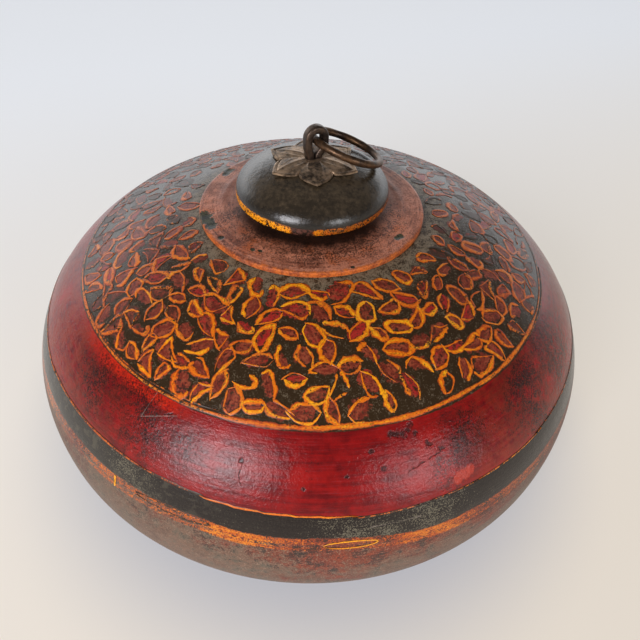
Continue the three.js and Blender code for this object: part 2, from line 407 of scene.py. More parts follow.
def potPaint(name):
    material, w, where = newMaterial(name, potColours)
    streak, radius, height, side = w.group(streakGroup, Where=where, Across=520.0, Around=30.0)[:4]
    fine = w.group(streakGroup, Where=where, Across=1700.0, Around=90.0)[0]
    wide = w.noise(where, 16, 2)
    patch = w.noise(where, 42, 4, 0.6, 1.0)
    mottle = w.noise(where, 190, 4, 0.65, 2.0)
    small = w.noise(where, 420, 4, 0.65, 3.0)
    grain = w.noise(where, 1900, 3, 0.7, 5.0)

    # painted edges waver by hand
    edge = height + wide.sway(1.4) + small.sway(0.5)
    tilted = w.math("MINIMUM", w.math("MAXIMUM", side, potBands["tiltFrom"]), potBands["tiltTo"])
    threadEdge = edge + tilted * potBands["threadTilt"]
    dropped = side.step(8.0, 46.0) * potBands["rightDrop"]
    dropped = dropped + side.step(-36.0, -18.0) * potBands["frontDrop"]
    lowEdge = height + dropped + patch.sway(1.6) + small.sway(1.8) + grain.sway(1.6)

    # pattern ground, dusty and gritty round the lid
    near = (radius + patch.sway(14.0)).step(58.0, 47.0)
    dust = near * small.blend(0.5, grain).step(0.42, 0.55)
    grit = (grain.blend(0.4, small) + near * 0.03).step(0.53, 0.61)
    ground = w.coats("ground", (dust * 0.95, "groundDust"), (grit * 0.5, "groundDust"))

    # crimson band
    ends = side.step(-42.0, -82.0) + side.step(35.0, 75.0)
    earthy = ends * mottle.blend(0.5, small).step(0.4, 0.56)
    strip = height.step(95.6, 97.0) * side.band(-74.0, -40.0, 8.0)
    dirt = potBlobs(w, where, "dirt", Ragged=0.9, Soft=0.8)
    smudge = small.blend(0.4, mottle).blend(0.3, grain).step(0.42, 0.58) * 0.84
    amount = 0.16 + dirt * 0.3 + side.step(25.0, 60.0) * 0.1
    specks = w.group(speckGroup, Where=where, Size=2000.0, Patch=90.0, Amount=amount)
    flakes = small.step(0.68, 0.71) * side.step(-10.0, 25.0)
    touched = potBlobs(w, where, "patch", Ragged=1.1, Fine=480.0, Soft=0.3)
    red = w.coats(
        "redDeep",
        (streak.blend(0.45, mottle).step(0.38, 0.6), "red"),
        (patch.step(0.48, 0.66) * 0.8, "redBright"),
        (fine.step(0.56, 0.72) * 0.2, "redDust"),
        (earthy * 0.7, "redEarth"),
        (strip * small.step(0.34, 0.5), "redStrip"),
        (dirt * smudge, "dirt"),
        (specks.most(flakes) * 0.85, "speck"),
        (touched * grain.step(0.2, 0.5), "patch"),
    )

    # black band, rubbed to dust at the right of the front and in one place at the left
    rubbing = 0.22 + side.band(0.0, 50.0, 12.0) * 0.26 + side.band(-66.0, -44.0, 7.0) * 0.26
    rubbing = rubbing + fine.sway(0.5)
    rubbed = w.group(speckGroup, Where=where, Size=2300.0, Patch=110.0, Amount=rubbing)
    clouds = mottle.blend(0.5, small).step(0.5, 0.58) * side.step(-10.0, -60.0)
    black = w.coats(
        "black",
        # painted sheen: the black is painted paler and greener towards the left
        (side.step(-30.0, -80.0), "blackLeftSheen"),
        (fine.blend(0.6, grain).step(0.52, 0.62) * 0.12, "blackDust"),
        (clouds * 0.22, "blackDust"),
        (rubbed * 0.65, "blackDust"),
    )

    # worn lower part: brown red under fine grey dust, streaky at the right
    turning = 0.2 + side.step(-5.0, 35.0) * 0.6
    uneven = fine * turning + small * (1.0 - turning)
    blotchy = uneven.blend(0.5, mottle).blend(0.3, grain)
    ember = side.band(-62.0, 62.0, 16.0) * mottle.blend(0.4, patch).step(0.44, 0.56)
    ember = ember * uneven.blend(0.5, grain).step(0.44, 0.52)
    greyer = side.step(10.0, -60.0) * 0.06 + height.step(64.0, 48.0) * 0.05
    dusty = grain.blend(0.5, uneven).blend(0.35, patch) + greyer
    worn = w.coats(
        "wornDark",
        (blotchy.step(0.43, 0.54), "worn"),
        (ember * 0.8, "wornOrange"),
        (dusty.step(0.49, 0.55) * 0.75, "wornGrey"),
        (small.blend(0.5, mottle).step(0.52, 0.58) * 0.42, "wornDark"),
        (grain.blend(0.3, uneven).step(0.54, 0.6) * 0.65, "wornPale"),
    )

    # orange stripes, half rubbed away
    kept = side.band(-31.0, -14.0, 4.0) * 0.09 + side.band(30.0, 52.0, 6.0) * 0.07
    lost = side.step(66.0, 90.0) * 0.05 + side.band(2.0, 24.0, 5.0) * 0.02
    keep = grain.blend(0.25, small) + patch.sway(0.3) + (kept - lost)
    low, high = potBands["stripeLow"], potBands["blackLow"]
    upper, lower = lowEdge.band(high - 2.4, high, 0.3), lowEdge.band(low, low + 1.3, 0.3)
    whole = lowEdge.band(low, high, 0.3)
    stripes = (upper.most(lower) * keep.step(0.48, 0.54)).most(whole * keep.step(0.54, 0.6))
    stripes = stripes * grain.blend(0.5, fine).step(0.39, 0.48)
    stripeTone = w.mix((keep + fine.sway(0.5)).step(0.54, 0.68), "orange", "yellow")

    # layers from the foot up, then the marks
    pits = potBlobs(w, where, "pits", Ragged=2.2, Fine=620.0, Soft=0.5) * grain.step(0.3, 0.5)
    bent = w.vector("ADD", where, w.join(small.sway(3.0 * mm), 0.0, mottle.sway(4.0 * mm)))
    cracks = potLines(w, bent, "cracks") * small.step(0.42, 0.54)
    scratches = potLines(w, where, "scratches") * grain.step(0.36, 0.54)
    colour = w.coats(
        worn,
        (stripes, stripeTone),
        (lowEdge.step(high - 0.12, high + 0.12), black),
        (threadEdge.step(potBands["thread"] - 0.1, potBands["thread"] + 0.1), red),
        (edge.step(potBands["line"] - 0.1, potBands["line"] + 0.1), ground),
        (pits.most(cracks) * 0.85, "speck"),
        (scratches * 0.3, "scratch"),
    )
    rough = 0.14 + mottle * 0.16 + height.step(75.0, 66.0) * 0.25 + near * 0.2
    leather = height.step(99.0, 94.0) * height.step(78.0, 84.0)
    leather = leather * (1.0 - side.band(-6.0, 18.0, 10.0) * 0.75)
    creased = 0.25 + leather * 0.8 + edge.step(98.0, 99.5) * 0.35
    relief = w.group(grainGroup, Where=where, Ridges=fine, Leather=creased) - (pits + cracks) * 0.6
    return finishMaterial(material, w, colour, rough, relief, 0.5, 0.4 * mm, lacquerIOR)


def bareWood(name):
    material, w, where = newMaterial(name, {})
    rings = w.group(streakGroup, Where=where, Across=700.0, Around=22.0)[0]
    tone = w.mix(rings.step(0.35, 0.65), "#3d2a1c", "#6b4a30")
    return finishMaterial(material, w, tone, 0.6 + rings * 0.3, rings, 0.4, 0.3 * mm)


strokeColours = dict(
    umber="#54240e", blood="#8c3414", rust="#c04c0c", orange="#e4720a", yellow="#fcaa12", dust="#8e5e48",
    fill="#74281a", fillDark="#38190f", fillDust="#96482e", fillBright="#b41e20",
    ground=potColours["ground"],
)


def strokeValues(w, where):
    # the tone attribute holds how yellow the paint is, how worn and how far from the stroke's edge
    tone = w.read("ShaderNodeAttribute", "Color", {}, attribute_name="tone")
    yellow, wear, body = w.split(tone, "ShaderNodeSeparateColor")
    small = w.noise(where, 480, 4, 0.65)
    grain = w.noise(where, 1500, 3, 0.7, 3.0)
    # hairs follow the brush, from the stroke's own width and the place on the pot
    x, y = w.split(where)[:2]
    across = w.split(w.read("ShaderNodeUVMap", 0, {}, uv_map="UVMap"))[1]
    hairs = w.noise(w.join(across * 5.0, x * 300.0, y * 300.0), 1.0, 3.0, 0.6, 6.0)
    return yellow, wear, body, small, grain, hairs, y


def finishStroke(material, w, where, colour, grain, ridges):
    relief = w.group(grainGroup, Where=where, Ridges=ridges)
    return finishMaterial(material, w, colour, 0.26 + grain * 0.2, relief, 0.5, 0.25 * mm, lacquerIOR)


def strokePaint(name):
    material, w, where = newMaterial(name, strokeColours)
    yellow, wear, body, small, grain, hairs, depth = strokeValues(w, where)
    level = (yellow + hairs.sway(1.6)) + (small.sway(1.4) + body.sway(0.5))
    # the strokes at the sides and the back are the dullest and the most broken; the dust colour laid on
    # them there is partly real dust and partly a painted sheen
    sheenAndWearBehind = depth.step(-60 * mm, 5 * mm)
    dusty = small.blend(0.5, grain).step(0.42, 0.56) * (wear * 0.8 + sheenAndWearBehind * 0.45)
    thin = (body + (grain.sway(1.4) + hairs.sway(1.0))).step(0.46, 0.2)
    pooled = grain.blend(0.5, hairs).step(0.52, 0.58) * body.step(0.2, 0.6)
    missing = grain.blend(0.5, small) + (wear * 0.2 + sheenAndWearBehind * 0.035)
    ragged = body + (small.sway(1.8) + grain.sway(1.5))
    colour = w.coats(
        "blood",
        (level.step(-0.1, 0.15), "rust"),
        (level.step(0.1, 0.38), "orange"),
        (level.step(0.5, 0.86), "yellow"),
        (dusty, "dust"),
        (thin * 0.8, "blood"),
        (pooled * 0.6, "umber"),
        (missing.step(0.6, 0.65).most(ragged.step(0.24, 0.12)), "ground"),
    )
    return finishStroke(material, w, where, colour, grain, hairs)


def fillPaint(name):
    material, w, where = newMaterial(name, strokeColours)
    bright, wear, body, small, grain, hairs = strokeValues(w, where)[:6]
    lit = (bright * 0.5 + (small.sway(1.0) + hairs.sway(0.6))).step(0.34, 0.5)
    missing = grain.blend(0.6, small) + wear * 0.12
    ragged = body + (small.sway(2.4) + grain.sway(1.4))
    colour = w.coats(
        "fill",
        (hairs.blend(0.5, grain).step(0.46, 0.58), "fillDust"),
        (lit * 0.7, "fillBright"),
        (small.blend(0.4, hairs).blend(0.4, grain).step(0.48, 0.42), "fillDark"),
        (missing.step(0.56, 0.63).most(ragged.step(0.26, 0.12)) * 0.9, "ground"),
    )
    return finishStroke(material, w, where, colour, grain, small)


discColours = dict(
    red="#93563f", pale="#c98469", glow="#cb7e5e", cloud="#5c2e20", ember="#c0602e", streakPale="#d09c86",
    streakDark="#4e2418", nearKnobDark="#40291c", speck="#241610", shade="#140c08", rimDark="#8f4220",
    rimBright="#c8682a", chipDark="#1c1b14", chipPale="#4c4a36",
)
# chips in the rim: distance from the axis, azimuth and reach
discChips = [
    (42.6, -163, 2.9), (42.2, -158, 2.7), (41.8, -153.5, 2.3), (42.6, 149, 2.2), (41.8, 153, 1.7),
    (39.4, -36.0, 1.2), (39.8, -33.4, 1.4), (41.8, -141.2, 1.1), (38.6, -122, 0.9), (37.8, -118, 0.8),
    (43.2, -70, 0.7),
]
chipHeight = 118.3 * mm
chipSpots = []
for away, azimuth, reach in discChips:
    angle = math.radians(azimuth)
    spot = (lidX + away * mm * math.cos(angle), lidY + away * mm * math.sin(angle), chipHeight)
    chipSpots.append((spot, reach * mm))


def discPaint(name):
    material, w, where = newMaterial(name, discColours)
    turned = w.group(streakGroup, Where=where, AxisX=lidX, AxisY=lidY, Across=1100.0, Around=60.0)
    streak, radius, depth = turned[0], turned[1], turned[4]
    patch = w.noise(where, 60, 4, 0.6)
    mottle = w.noise(where, 300, 4, 0.65, 2.0)
    clouds = w.noise(where, 150, 4, 0.65, 8.0)
    grain = w.noise(where, 1500, 3, 0.7, 5.0)
    front = depth.step(10.0, -22.0)
    # painted light: the front of the disc is painted paler and warmer in streaks
    paintedFrontLight = front * streak.blend(0.4, mottle).blend(0.4, patch).step(0.42, 0.54)
    shade = (radius + mottle.sway(9.0)).step(34.5, 28.0) * (front * 0.93)
    # darker towards the knob, and more so at the front
    nearKnobDark = (radius + patch.sway(14.0)).step(41.0, 31.0) * (0.3 + front * 0.3)
    rubbed = streak.blend(0.5, grain).blend(0.3, mottle).step(0.46, 0.55)
    amount = radius.step(43.0, 34.0) * 0.24 + front * 0.36
    specks = w.group(speckGroup, Where=where, Size=1800.0, Patch=130.0, Amount=amount)
    rim = (radius + mottle.sway(3.0)).step(43.3, 44.3) * front
    uneven = mottle.blend(0.5, grain)
    chips = blobs(w, where, chipSpots, Ragged=1.1, Fine=500.0)
    colour = w.coats(
        "red",
        (patch.blend(0.5, mottle).step(0.4, 0.6), "pale"),
        (paintedFrontLight * 0.7, "glow"),
        (clouds.step(0.52, 0.6) * 0.42, "cloud"),
        (clouds.step(0.47, 0.38) * (front * 0.55), "ember"),
        (streak.blend(0.5, grain).step(0.53, 0.61) * 0.45, "streakPale"),
        (streak.blend(0.6, grain).step(0.49, 0.42) * 0.7, "streakDark"),
        (nearKnobDark * rubbed * 0.8, "nearKnobDark"),
        (specks * 0.8, "speck"),
        (shade, "shade"),
        (rim * patch.step(0.3, 0.48), w.mix(uneven.step(0.42, 0.56), "rimDark", "rimBright")),
        (chips, w.mix(uneven.step(0.45, 0.56), "chipDark", "chipPale")),
    )
    relief = w.group(grainGroup, Where=where, Ridges=streak + streak, Lumps=220.0, Leather=0.3)
    relief = relief - chips * 0.7
    return finishMaterial(material, w, colour, 0.28 + mottle * 0.22, relief, 0.6, 0.3 * mm, lacquerIOR)


domeColours = dict(
    black="#2c241a", brown="#473b2c", dust="#6a5844", foot="#14100c", bare="#6e4034", orange="#bd5410",
    gold="#f79c12",
)
rimLine = dict(low=122.6, high=125.3, thicker=0.7, brokenFrom=-6.8, brokenTo=0.8)


def domePaint(name):
    material, w, where = newMaterial(name, domeColours)
    turned = w.group(streakGroup, Where=where, AxisX=lidX, AxisY=lidY, Across=700.0, Around=60.0)
    height, side, depth = turned[2:]
    patch = w.noise(where, 80, 4, 0.6)
    small = w.noise(where, 560, 4, 0.7)
    grain = w.noise(where, 1500, 3, 0.7, 5.0)
    uneven = small.blend(0.5, grain)
    line = height + small.sway(2.4) + grain.sway(2.4)
    left = side.step(-3.0, -14.0)
    right = side.step(0.0, 6.0) * 0.05
    rim = (line - left * rimLine["thicker"]).band(rimLine["low"], rimLine["high"], 0.15)
    middle = side.band(rimLine["brokenFrom"], rimLine["brokenTo"], 1.5) * depth.step(0.0, -20.0)
    rubbed = uneven + (middle * 0.15 + right)
    golden = uneven + (left * 0.05 + right * -0.2)
    kept = rim * rubbed.step(0.59, 0.54)
    colour = w.coats(
        "black",
        (patch.blend(0.5, small).step(0.42, 0.6), "brown"),
        (uneven.step(0.55, 0.63) * 0.35, "dust"),
        # painted shade: the dome is painted near-black towards its foot
        (height.step(132.5, 126.0) * 0.85, "foot"),
        (rim * middle * small.step(0.42, 0.55) * 0.6, "bare"),
        (kept * grain.blend(0.4, small).step(0.43, 0.5), w.mix(golden.step(0.46, 0.55), "orange", "gold")),
    )
    relief = w.group(grainGroup, Where=where, Ridges=turned[0], Lumps=260.0, Leather=0.9)
    return finishMaterial(material, w, colour, 0.15 + patch * 0.16, relief, 0.5, 0.3 * mm)


def ironFinish(name, dark, light, polish):
    material, w, where = newMaterial(name, {})
    patch = w.noise(where, 170, 4, 0.6)
    small = w.noise(where, 800, 4, 0.65)
    colour = w.coats(
        dark,
        (patch.blend(0.35, small).step(0.38, 0.62), light),
        (small.step(0.58, 0.72) * 0.4, "#7a5232"),
    )
    relief = w.group(grainGroup, Where=where, Ridges=patch, Grit=2200.0, Lumps=520.0, Leather=0.3)
    rough, metallic = polish + small * 0.25, 0.5 + patch * 0.5
    return finishMaterial(material, w, colour, rough, relief, 0.5, 0.25 * mm, metallic=metallic)


# Pot, turned in two halves that meet in a rabbet
lipOuter = pot["radius"] - pot["wall"] + pot["lipWidth"]
bellyRise = pot["equator"] / math.sqrt(1 - (pot["foot"] / pot["radius"]) ** 2)
boreWide, boreRise = pot["radius"] - pot["wall"], pot["rise"] - pot["wall"]


def shellBore(height):
    sine = (height / boreRise) ** (pot["up"] / 2)
    return boreWide * math.sqrt(1 - sine * sine) ** (2 / pot["across"])


def insideHeight(r):
    return pot["equator"] + superHeight(r, boreWide, boreRise, pot["across"], pot["up"])


def dressInside(piece, isOutside, outer, inner):
    piece.data.materials.append(outer)
    piece.data.materials.append(inner)
    for face in piece.data.polygons:
        r = math.hypot(face.center.x, face.center.y)
        face.material_index = 0 if isOutside(r, face.center.z) else 1


def buildShell():
    seatHeight = shoulderHeight(pot["seat"])
    lipTop = pot["lipHeight"] + gap
    outline = [(lipOuter + gap, pot["equator"] + gap)]
    outline += superCurve(pot["radius"], pot["seat"], pot["radius"], pot["across"], shoulderHeight, 84)
    outline += [(pot["mouth"] + 0.6 * mm, seatHeight), (pot["mouth"], seatHeight - 0.6 * mm)]
    outline += superCurve(pot["mouth"], shellBore(lipTop), boreWide, pot["across"], insideHeight, 36)
    outline += [(lipOuter + gap, pot["equator"] + lipTop)]
    piece = spinOutline("pot_shoulder", outline, pot["steps"])

    def isOutside(r, z):
        return r > pot["mouth"] + 0.1 * mm and z > shoulderHeight(r) - 1.5 * mm

    dressInside(piece, isOutside, potPaint("shoulderPaint"), bareWood("innerWood"))
    finishPiece(piece, "pot", "shoulder_paint", "upper_shell")


def quarter(radius, height, lowRadius, steps):
    start = math.acos(lowRadius / radius)
    angles = [start * (1 - i / steps) for i in range(steps + 1)]
    return [(radius * math.cos(a), pot["equator"] - height * math.sin(a)) for a in angles]


def buildBelly():
    insideRise = bellyRise - pot["wall"]
    floorRadius = boreWide * math.sqrt(1 - ((pot["equator"] - pot["floor"]) / insideRise) ** 2)
    lipTop = pot["equator"] + pot["lipHeight"]
    outline = [(0, 0), (pot["foot"] - 0.8 * mm, 0)]
    outline += quarter(pot["radius"], bellyRise, pot["foot"] + 0.9 * mm, 52)
    outline += [(lipOuter, pot["equator"]), (lipOuter, lipTop), (shellBore(pot["lipHeight"]), lipTop)]
    outline += quarter(boreWide, insideRise, floorRadius, 28)[::-1]
    outline += [(0, pot["floor"])]
    piece = spinOutline("pot_belly", outline, pot["steps"])

    def isOutside(r, z):
        if z > pot["equator"] - 0.1 * mm or z < 0.2 * mm:
            return False
        return r > pot["radius"] * math.sqrt(1 - ((pot["equator"] - z) / bellyRise) ** 2) - 3 * mm

    dressInside(piece, isOutside, potPaint("bellyPaint"), bareWood("footWood"))
    finishPiece(piece, "pot", "belly_paint", "lower_bowl")


print("turning the pot")
buildShell()
buildBelly()

# Lid
disc = dict(
    edgeThick=2.4 * mm, rise=1.1 * mm, spigot=35.5 * mm, spigotDepth=6 * mm, recess=29 * mm,
    neck=23 * mm, socket=10.3 * mm, plate=4.4 * mm, corner=0.7 * mm, chipDepth=0.35 * mm, steps=260,
    ridge=35.6 * mm, ridgeHeight=0.25 * mm, ridgeWidth=1.3 * mm, rings=30,
)
dome = dict(
    rise=12 * mm, across=2.1, up=2.3, undercut=3.1 * mm, neckHeight=0.9 * mm, rim=0.7 * mm,
    tenon=2.6 * mm, steps=180,
)
discRadius = (flangeHigh.x - flangeLow.x) / 2
discTop = flangeHigh.z
discEdgeTop = discTop - disc["rise"]
discBottom = discEdgeTop - disc["edgeThick"]
domeRadius = (knobHigh.x - knobLow.x) / 2
domeFoot = discTop + gap
domeBase = domeFoot + dome["neckHeight"] + dome["undercut"] + dome["rim"]
domeTop = domeBase + dome["rise"]


def domeHeight(r):
    return domeBase + superHeight(r, domeRadius, dome["rise"], dome["across"], dome["up"])


def buildDisc():
    spigotFoot = discBottom - disc["spigotDepth"]
    outline = [
        (boreRadius, discTop - disc["plate"]),
        (disc["recess"], discTop - disc["plate"]),
        (disc["recess"], spigotFoot),
        (disc["spigot"] - 0.5 * mm, spigotFoot),
        (disc["spigot"], spigotFoot + 0.5 * mm),
        (disc["spigot"], discBottom),
        (discRadius - 0.4 * mm, discBottom),
        (discRadius, discBottom + 0.4 * mm),
        (discRadius, discEdgeTop - 1.2 * mm),
        (discRadius, discEdgeTop - disc["corner"]),
        (discRadius - 0.2 * mm, discEdgeTop - 0.2 * mm),
        (discRadius - disc["corner"], discEdgeTop),
    ]
    edge, inner = discRadius - disc["corner"], disc["neck"] + 1 * mm
    for i in range(1, disc["rings"]):  # dished top with one turned ridge
        r = edge + (inner - edge) * i / disc["rings"]
        lift = disc["ridgeHeight"] * math.exp(-(((r - disc["ridge"]) / disc["ridgeWidth"]) ** 2))
        share = (discRadius - r) / (discRadius - disc["neck"])
        outline.append((r, discEdgeTop + (disc["rise"] - disc["ridgeHeight"]) * share**1.3 + lift))
    outline += [
        (inner, discTop),
        (disc["socket"], discTop),
        (disc["socket"], discTop - dome["tenon"] - gap),
        (boreRadius, discTop - dome["tenon"] - gap),
    ]
    piece = spinOutline("lid_disc", outline, disc["steps"], lidX, lidY)
    for vertex in piece.data.vertices:  # chipped rim
        for centre, reach in chipSpots:
            away = (vertex.co - Vector(centre)).length / reach
            if away < 1 and vertex.co.z > discEdgeTop - 1.3 * mm:
                vertex.co.z -= disc["chipDepth"] * (1 - away * away)
    piece.data.materials.append(discPaint("discPaint"))
    finishPiece(piece, "lid", "lid_red", "lid_flange")


def buildDome():
    rimHeight = domeFoot + dome["neckHeight"] + dome["undercut"]
    outline = [
        (boreRadius, discTop - dome["tenon"]),
        (disc["socket"] - gap, discTop - dome["tenon"]),
        (disc["socket"] - gap, domeFoot),
        (disc["neck"], domeFoot),
        (disc["neck"], domeFoot + dome["neckHeight"]),
    ]
    for i in range(1, 13):
        angle = math.pi / 2 * i / 12
        r = disc["neck"] + (domeRadius - disc["neck"]) * math.sin(angle)
        outline.append((r, rimHeight - dome["undercut"] * math.cos(angle)))
    outline += superCurve(domeRadius, boreRadius, domeRadius, dome["across"], domeHeight, 48)
    piece = spinOutline("lid_dome", outline, dome["steps"], lidX, lidY)
    piece.data.materials.append(domePaint("domePaint"))
    finishPiece(piece, "lid", "knob_black", "lid_knob")


print("turning the lid")
buildDisc()
buildDome()

# Iron fittings
strap = dict(
    thick=2.8 * mm, wide=3.8 * mm, corner=0.9 * mm, loop=3.3 * mm, above=8.3 * mm, lean=0.9 * mm,
    hang=0.9 * mm, clinch=10 * mm,
)
star = dict(
    lobes=6, phase=math.radians(-84), tip=18 * mm, valley=12 * mm, thick=1.2 * mm, lift=0.9 * mm,
    fold=0.6 * mm, vein=0.12 * mm, groove=0.35 * mm, bevel=0.25 * mm, steps=420, rings=26,
    blankInner=5 * mm, blankWide=10 * mm,
)
washer = dict(radius=11 * mm, thick=1.2 * mm, soft=0.25 * mm)
wire = dict(radius=14 * mm, thick=3.1 * mm, tilt=math.radians(21.9))
hinge = Vector(swing["pos_m"])
hingeAxis = Vector(swing["axis"]).normalized()
lyingWay = Vector((-hingeAxis.y, hingeAxis.x, 0))


def leafAway(angle):
    # 0 on a leaf's ridge, 1 in the valley between two leaves
    phase = (angle - star["phase"]) / (2 * math.pi / star["lobes"])
    return min(1, abs(phase - round(phase)) * 2)


def strapHole(angle):
    # rounded oblong hole that the two legs fill
    direction = Vector((math.cos(angle), math.sin(angle), 0))
    along = abs(direction.dot(lyingWay)) / (strap["thick"] + 0.45 * mm)
    across = abs(direction.dot(hingeAxis)) / (strap["wide"] / 2 + 0.3 * mm)
    return 1 / (along**4 + across**4) ** 0.25


def buildStar(iron):
    shares = [i / star["rings"] for i in range(star["rings"] + 1)]
    radii = [star["blankInner"] + star["blankWide"] * share for share in shares]
    outline = [(r, 0.0) for r in radii] + [(r, 1 * mm) for r in reversed(radii)]
    piece = spinOutline("leaf_star", outline, star["steps"])  # a flat ring, shaped into leaves below
    for vertex in piece.data.vertices:
        angle = math.atan2(vertex.co.y, vertex.co.x)
        share = (math.hypot(vertex.co.x, vertex.co.y) - star["blankInner"]) / star["blankWide"]
        hole, away = strapHole(angle), leafAway(angle)
        reach = (1 - away) ** 0.5 * (1 - 0.38 * away**0.75)  # pointed tip, full flanks, deep notch
        leafEdge = star["valley"] + (star["tip"] - star["valley"]) * reach
        r = hole + (leafEdge - hole) * share
        tip = max(0, (r - star["valley"]) / (star["tip"] - star["valley"]))
        rise = math.sin(math.pi * share * 1.15) ** 0.7 if 0.01 < share < 0.86 else 0
        fold = star["fold"] * (1 - away) * rise
        veins = sum(math.exp(-(((away - at * (1.1 - share)) / 0.1) ** 2)) for at in (0, 0.9))
        groove = star["groove"] * math.exp(-(((share - 0.88) / 0.025) ** 2))
        edge = star["bevel"] * max(0, (share - 0.96) / 0.04) ** 1.5
        top = star["thick"] - 0.3 * mm + fold + star["vein"] * veins * rise - groove - edge
        z = domeHeight(r) + gap + star["lift"] * tip * tip + (top if vertex.co.z > 0.5 * mm else 0)
        vertex.co = (r * math.cos(angle) + lidX, r * math.sin(angle) + lidY, z)
    pickOnly(piece)
    smooth(40)
    piece.data.materials.append(iron)
    finishPiece(piece, "lid", "rosette_iron", "rosette")


def strapLine():
    loopCentre = domeTop + strap["above"]
    clinchHeight = discTop - disc["plate"] - gap - washer["thick"] - gap - strap["thick"] / 2
    leg, bend = strap["thick"] / 2 + gap / 2, strap["thick"] * 0.8
    left = [(-strap["clinch"], clinchHeight), (-leg - bend * 2, clinchHeight)]
    for i in range(1, 9):
        angle = math.pi / 2 * i / 8
        left.append((-leg - bend * (1 - math.sin(angle)), clinchHeight + bend * (1 - math.cos(angle))))
    legTop = domeTop + star["thick"]
    loopFoot = loopCentre - strap["hang"] - wire["thick"] / 2 - gap
    left.append((-leg, legTop))
    for i in range(1, 9):
        share = i / 8
        soft = share * share * (3 - 2 * share)
        left.append((-leg - (strap["loop"] - leg) * soft, legTop + (loopFoot - legTop) * share))
    for i in range(12):
        angle = math.pi / 2 * i / 12
        left.append((-strap["loop"] * math.cos(angle), loopCentre + strap["loop"] * math.sin(angle)))
    leaned = []
    for s, z in left + [(0, loopCentre + strap["loop"])] + [(-s, z) for s, z in reversed(left)]:
        share = min(1, max(0, (z - legTop) / (loopFoot - legTop)))
        leaned.append((s + strap["lean"] * share * share * (3 - 2 * share), z))
    return leaned


def strapSection():
    # cross-section of the strap: an oblong with well-rounded corners
    deselectAll()
    bpy.ops.mesh.primitive_plane_add(size=1)
    editAll()
    bpy.ops.transform.resize(value=(strap["thick"], strap["wide"], 1))
    bpy.ops.mesh.bevel(offset=strap["corner"], segments=5, affect="VERTICES")
    bpy.ops.mesh.delete(type="ONLY_FACE")
    bpy.ops.object.mode_set(mode="OBJECT")
    bpy.ops.object.convert(target="CURVE")
    return bpy.context.object


def buildEye(iron):
    section = strapSection()
    data = bpy.data.curves.new("eyeLine", "CURVE")
    data.dimensions = "2D"
    data.fill_mode = "NONE"
    line = strapLine()
    spline = data.splines.new("POLY")
    spline.points.add(len(line) - 1)
    for point, (s, z) in zip(spline.points, line):
        point.co = (s, z, 0, 1)
    data.bevel_mode = "OBJECT"
    data.bevel_object = section
    data.use_fill_caps = True
    piece = bpy.data.objects.new("folded_eye", data)
    bpy.context.scene.collection.objects.link(piece)
    pickOnly(piece)
    bpy.ops.object.convert(target="MESH")
    piece = bpy.context.object
    bpy.data.objects.remove(section)
    upright = Matrix((lyingWay, Vector((0, 0, 1)), hingeAxis)).transposed().to_4x4()
    piece.data.transform(Matrix.Translation((lidX, lidY, 0)) @ upright)
    bpy.ops.object.mode_set(mode="EDIT")
    weldAll()
    bpy.ops.mesh.normals_make_consistent(inside=False)
    smooth(45)
    piece.data.materials.append(iron)
    finishPiece(piece, "lid", "eye_iron", "eye_pin")


def buildRing(iron):
    deselectAll()
    bpy.ops.mesh.primitive_torus_add(
        major_radius=wire["radius"], minor_radius=wire["thick"] / 2, major_segments=140, minor_segments=20
    )
    piece = bpy.context.object
    piece.name = "loose_ring"
    way = lyingWay * math.cos(wire["tilt"]) - Vector((0, 0, math.sin(wire["tilt"])))
    across = Vector((-lyingWay.y, lyingWay.x, 0))
    place = Matrix((way, across, way.cross(across))).transposed().to_4x4()
    for vertex in piece.data.vertices:  # a forged wire is never quite even
        angle = math.atan2(vertex.co.y, vertex.co.x)
        core = Vector((math.cos(angle), math.sin(angle), 0)) * wire["radius"]
        beat = 1 - 0.03 * (1 + math.sin(5 * angle + 1)) - 0.02 * (1 + math.sin(11 * angle))
        vertex.co = core + (vertex.co - core) * beat
    piece.data.transform(Matrix.Translation(hinge + way * wire["radius"]) @ place)
    pickOnly(piece)
    bpy.ops.object.shade_smooth()
    piece.data.materials.append(iron)
    finishPiece(piece, "ring", "ring_iron", "pull_ring")


def buildWasher(iron):
    top, outer, soft = discTop - disc["plate"] - gap, washer["radius"], washer["soft"]
    bottom = top - washer["thick"]
    outline = [
        (boreRadius, bottom), (outer - soft, bottom), (outer, bottom + soft),
        (outer, top - soft), (outer - soft, top), (boreRadius, top),
    ]
    piece = spinOutline("clinch_plate", outline, 72, lidX, lidY)
    piece.data.materials.append(iron)
    finishPiece(piece, "lid", "washer_iron", "clinch_washer")


print("forging the fittings")
leafIron = ironFinish("leafIron", "#2e241b", "#b4977a", 0.36)
strapIron = ironFinish("strapIron", "#2b221d", "#59483b", 0.26)
wornIron = ironFinish("wornIron", "#2e2118", "#6a4e36", 0.26)
buildStar(leafIron)
buildEye(strapIron)
buildRing(wornIron)
buildWasher(leafIron)

# Hand-painted petals and lines on the shoulder
petals = dict(
    seed=23, count=366, spacing=8.3 * mm, pushes=36, inner=51 * mm, outer=89 * mm,
    length=(6.6 * mm, 10.8 * mm), girth=(0.46, 0.74), sideLength=0.92, jitter=0.08,
    stroke=(1.2 * mm, 1.7 * mm), heavy=(1.1, 1.75), light=(0.5, 1.0),
    relief=0.2 * mm, fillRelief=0.07 * mm, sunk=0.1 * mm, lineRadius=93.2 * mm, lineClear=0.9 * mm,
)
